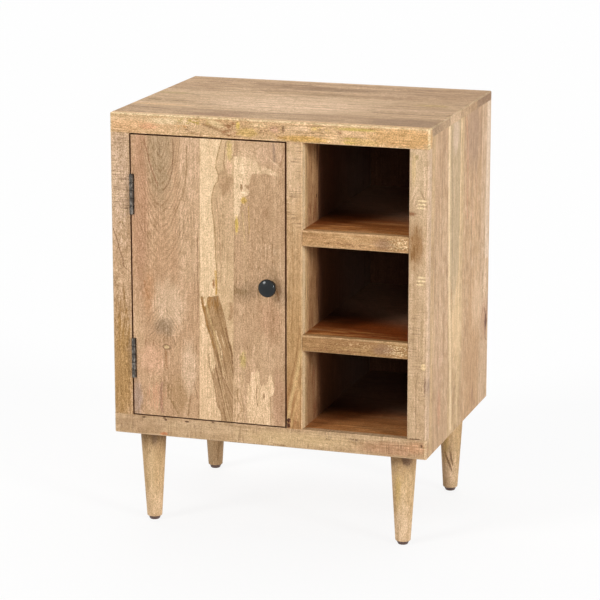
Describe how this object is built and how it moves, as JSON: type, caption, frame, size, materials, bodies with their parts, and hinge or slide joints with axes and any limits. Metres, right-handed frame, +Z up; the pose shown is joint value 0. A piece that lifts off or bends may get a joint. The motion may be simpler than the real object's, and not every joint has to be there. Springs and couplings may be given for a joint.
{
  "type": "storage side table with door",
  "caption": "Small wooden storage side table: a box case on tapered legs, with a knobbed door hinged at the left and open cubbies at the right.",
  "frame": {"origin": "on the floor, at the middle of the whole width and the whole depth, knob included", "axes": "+X to the right and +Y to the back as seen from the front, +Z up; the door is on the left, in front"},
  "size_m": [0.508, 0.405, 0.662],
  "materials": {
    "case_wood": "satin lacquer on light mango wood",
    "inner_wood": "satin, stained darker",
    "front_wood": "satin lacquer on light mango wood",
    "back_wood": "matt, stained darker",
    "door_wood": "satin lacquer on light mango wood",
    "leg_wood": "satin lacquer",
    "dowel_wood": "bare beech",
    "dark_iron": "dark antique, lightly worn",
    "black_knob": "satin black",
    "zinc_steel": "zinc plated",
    "brass": "turned",
    "catch_plastic": "brown, moulded",
    "magnet": "ceramic magnet",
    "glide_plastic": "dark brown"
  },
  "bodies": {
    "case": {"top_panel": "case_wood", "left_side_panel": "case_wood", "right_side_panel": "case_wood", "bottom_panel": "inner_wood", "divider_panel": "inner_wood", "upper_shelf": "inner_wood", "lower_shelf": "inner_wood", "top_rail": "front_wood", "bottom_rail": "front_wood", "left_stile": "front_wood", "right_stile": "front_wood", "divider_lipping": "front_wood", "upper_shelf_lipping": "front_wood", "lower_shelf_lipping": "front_wood", "back_panel": "back_wood", "front_left_leg": "leg_wood", "front_right_leg": "leg_wood", "rear_left_leg": "leg_wood", "rear_right_leg": "leg_wood", "side_dowels": "dowel_wood", "divider_dowels": "dowel_wood", "upper_hinge_frame_leaf": "dark_iron", "lower_hinge_frame_leaf": "dark_iron", "upper_hinge_pin": "dark_iron", "lower_hinge_pin": "dark_iron", "hinge_frame_screws": "zinc_steel", "catch_screws": "zinc_steel", "back_panel_screws": "zinc_steel", "hanger_bolts": "zinc_steel", "glide_nails": "zinc_steel", "threaded_inserts": "brass", "catch_housing": "catch_plastic", "catch_magnet": "magnet", "front_left_glide": "glide_plastic", "front_right_glide": "glide_plastic", "rear_left_glide": "glide_plastic", "rear_right_glide": "glide_plastic"},
    "door": {"door_panel": "door_wood", "upper_hinge_door_leaf": "dark_iron", "lower_hinge_door_leaf": "dark_iron", "hinge_door_screws": "zinc_steel", "knob": "black_knob", "knob_screw": "zinc_steel", "strike_plate": "zinc_steel", "strike_screw": "zinc_steel"}
  },
  "joints": [
    {"name": "door_hinge", "type": "hinge", "parent": "case", "child": "door", "pos_m": [-0.21975, -0.179, 0.407], "axis": [0, 0, -1], "range_deg": [0, 180]}
  ]
}
